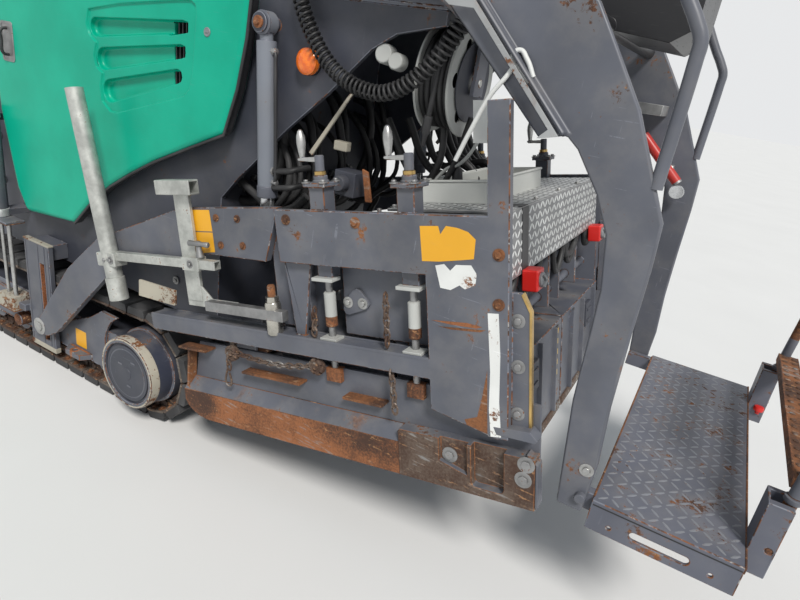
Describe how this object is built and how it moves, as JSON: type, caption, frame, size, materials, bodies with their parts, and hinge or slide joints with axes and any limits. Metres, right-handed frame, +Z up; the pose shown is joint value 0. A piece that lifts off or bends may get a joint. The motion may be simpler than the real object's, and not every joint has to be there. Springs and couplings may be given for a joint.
{
  "type": "compact tracked asphalt paver",
  "caption": "Compact tracked road paver: folding hopper, conveyor, augers, green hood, rear operator station and a lifted screed that extends sideways.",
  "frame": {"origin": "on the ground under the middle of the machine's overall length and width", "axes": "+X forwards, +Y to the machine's left, +Z up"},
  "size_m": [4.9, 1.4748, 2.6],
  "materials": {
    "machine_grey": "semi-gloss slate grey paint with scratches, chips and rust",
    "hood_green": "glossy blue-green moulded panel",
    "black_plastic": "matte black",
    "seat_vinyl": "black vinyl, stitched",
    "engine_iron": "plain cast grey",
    "bare_steel": "galvanised or drawn steel, dull",
    "track_rubber": "dusty black rubber shoes",
    "worn_steel": "worn steel with brown rust",
    "amber_lens": "moulded amber lens",
    "clear_lens": "clear lens over a reflector",
    "hose_rubber": "matte black rubber",
    "reel_grey": "light grey paint",
    "tread_plate": "five-bar and diamond tread plate, scuffed"
  },
  "bodies": {
    "tractor": {"chassis": "machine_grey", "engine_bay": "machine_grey", "engine_block": "engine_iron", "side_panels": "hood_green", "hood_grille": "black_plastic", "control_deck": "machine_grey", "console": "black_plastic", "seat": "black_plastic", "seat_cushions": "seat_vinyl", "exhaust": "bare_steel", "stringers": "machine_grey", "handrails": "bare_steel", "walkway": "machine_grey", "side_fittings": "bare_steel", "tracks": "track_rubber", "crawler_frames": "machine_grey", "tow_guides": "machine_grey", "conveyor": "worn_steel", "auger_carrier": "machine_grey", "push_bar": "machine_grey", "amber_lamps": "amber_lens", "head_lamps": "clear_lens", "bay_hoses": "hose_rubber", "coil_cable": "hose_rubber"},
    "hood": {"hood_lid": "hood_green"},
    "apron": {"apron": "machine_grey"},
    "reel": {"reel": "reel_grey", "reel_hose": "hose_rubber"},
    "screed": {"tow_arms": "machine_grey", "screed_main": "machine_grey", "screed_deck": "tread_plate"},
    "extension_left": {"extension_left": "machine_grey", "side_beam_left": "machine_grey", "sensor_mount": "bare_steel"},
    "extension_right": {"extension_right": "machine_grey", "side_beam_right": "machine_grey"},
    "ladder": {"ladder": "worn_steel"},
    "wing_left": {"wing_left": "machine_grey"},
    "wing_right": {"wing_right": "machine_grey"},
    "wing_barrel_left": {"wing_barrel_left": "machine_grey"},
    "wing_barrel_right": {"wing_barrel_right": "machine_grey"},
    "wing_rod_left": {"wing_rod_left": "bare_steel"},
    "wing_rod_right": {"wing_rod_right": "bare_steel"},
    "push_roller_left": {"push_roller_left": "bare_steel"},
    "push_roller_right": {"push_roller_right": "bare_steel"},
    "auger_left": {"auger_left": "worn_steel"},
    "auger_right": {"auger_right": "worn_steel"},
    "lift_barrel_left": {"lift_barrel_left": "machine_grey"},
    "lift_barrel_right": {"lift_barrel_right": "machine_grey"},
    "lift_rod_left": {"lift_rod_left": "bare_steel"},
    "lift_rod_right": {"lift_rod_right": "bare_steel"},
    "end_gate_left": {"end_gate_left": "machine_grey"},
    "end_gate_right": {"end_gate_right": "machine_grey"}
  },
  "joints": [
    {"name": "screed_lift", "type": "hinge", "parent": "tractor", "child": "screed", "pos_m": [0.7, 0, 0.241], "axis": [0, 1, 0], "range_deg": [-12.4, 0]},
    {"name": "hood_lid_hinge", "type": "hinge", "parent": "tractor", "child": "hood", "pos_m": [1.172, 0, 1.862], "axis": [0, 1, 0], "range_deg": [0, 55]},
    {"name": "apron_hinge", "type": "hinge", "parent": "tractor", "child": "apron", "pos_m": [2.24, 0, 0.475], "axis": [0, 1, 0], "range_deg": [0, 70]},
    {"name": "ladder_hinge", "type": "hinge", "parent": "tractor", "child": "ladder", "pos_m": [-2.395, 0, 0.64], "axis": [0, -1, 0], "range_deg": [0, 170]},
    {"name": "reel_spin", "type": "hinge", "parent": "tractor", "child": "reel", "pos_m": [-1.2, 0.34, 1.672], "axis": [1, 0, 0], "continuous": true},
    {"name": "wing_fold_left", "type": "hinge", "parent": "tractor", "child": "wing_left", "pos_m": [0, 0.3, 0.6], "axis": [-1, 0, 0], "range_deg": [0, 55]},
    {"name": "wing_barrel_swing_left", "type": "hinge", "parent": "tractor", "child": "wing_barrel_left", "pos_m": [0, 0.33, 0.3], "axis": [-1, 0, 0], "range_deg": [0, 30.17]},
    {"name": "wing_rod_slide_left", "type": "slide", "parent": "wing_barrel_left", "child": "wing_rod_left", "axis": [0, 0.3217, 0.9468], "range_m": [-0.1818, 0]},
    {"name": "push_roller_spin_left", "type": "hinge", "parent": "tractor", "child": "push_roller_left", "pos_m": [2.39, 0.2, 0.365], "axis": [0, 1, 0], "continuous": true},
    {"name": "auger_spin_left", "type": "hinge", "parent": "tractor", "child": "auger_left", "pos_m": [-0.56, 0.3, 0.23], "axis": [0, 1, 0], "continuous": true},
    {"name": "extension_slide_left", "type": "slide", "parent": "screed", "child": "extension_left", "axis": [0, 1, 0], "range_m": [0, 0.5]},
    {"name": "end_gate_slide_left", "type": "slide", "parent": "extension_left", "child": "end_gate_left", "axis": [0.2163, 0, 0.9763], "range_m": [0, 0.035]},
    {"name": "lift_barrel_swing_left", "type": "hinge", "parent": "tractor", "child": "lift_barrel_left", "pos_m": [-0.569, 0.57, 1.751], "axis": [0, 1, 0], "range_deg": [0, 6.75]},
    {"name": "lift_rod_slide_left", "type": "slide", "parent": "lift_barrel_left", "child": "lift_rod_left", "axis": [-0.0852, 0, -0.9964], "range_m": [0, 0.3227]},
    {"name": "wing_fold_right", "type": "hinge", "parent": "tractor", "child": "wing_right", "pos_m": [0, -0.3, 0.6], "axis": [1, 0, 0], "range_deg": [0, 55]},
    {"name": "wing_barrel_swing_right", "type": "hinge", "parent": "tractor", "child": "wing_barrel_right", "pos_m": [0, -0.33, 0.3], "axis": [1, 0, 0], "range_deg": [0, 30.17]},
    {"name": "wing_rod_slide_right", "type": "slide", "parent": "wing_barrel_right", "child": "wing_rod_right", "axis": [0, -0.3217, 0.9468], "range_m": [-0.1818, 0]},
    {"name": "push_roller_spin_right", "type": "hinge", "parent": "tractor", "child": "push_roller_right", "pos_m": [2.39, -0.2, 0.365], "axis": [0, 1, 0], "continuous": true},
    {"name": "auger_spin_right", "type": "hinge", "parent": "tractor", "child": "auger_right", "pos_m": [-0.56, -0.3, 0.23], "axis": [0, 1, 0], "continuous": true},
    {"name": "extension_slide_right", "type": "slide", "parent": "screed", "child": "extension_right", "axis": [0, -1, 0], "range_m": [0, 0.5]},
    {"name": "end_gate_slide_right", "type": "slide", "parent": "extension_right", "child": "end_gate_right", "axis": [0.2163, 0, 0.9763], "range_m": [0, 0.035]},
    {"name": "lift_barrel_swing_right", "type": "hinge", "parent": "tractor", "child": "lift_barrel_right", "pos_m": [-0.569, -0.57, 1.751], "axis": [0, 1, 0], "range_deg": [0, 6.75]},
    {"name": "lift_rod_slide_right", "type": "slide", "parent": "lift_barrel_right", "child": "lift_rod_right", "axis": [-0.0852, 0, -0.9964], "range_m": [0, 0.3227]}
  ],
  "couplings": [
    {"joint": "wing_barrel_swing_left", "follows": "wing_fold_left", "ratio": 0.53952},
    {"joint": "wing_rod_slide_left", "follows": "wing_fold_left", "m_per_rad": -0.18834},
    {"joint": "lift_barrel_swing_left", "follows": "screed_lift", "ratio": -0.52},
    {"joint": "lift_rod_slide_left", "follows": "screed_lift", "m_per_rad": -1.4866},
    {"joint": "wing_barrel_swing_right", "follows": "wing_fold_right", "ratio": 0.53952},
    {"joint": "wing_rod_slide_right", "follows": "wing_fold_right", "m_per_rad": -0.18834},
    {"joint": "lift_barrel_swing_right", "follows": "screed_lift", "ratio": -0.52},
    {"joint": "lift_rod_slide_right", "follows": "screed_lift", "m_per_rad": -1.4866}
  ]
}
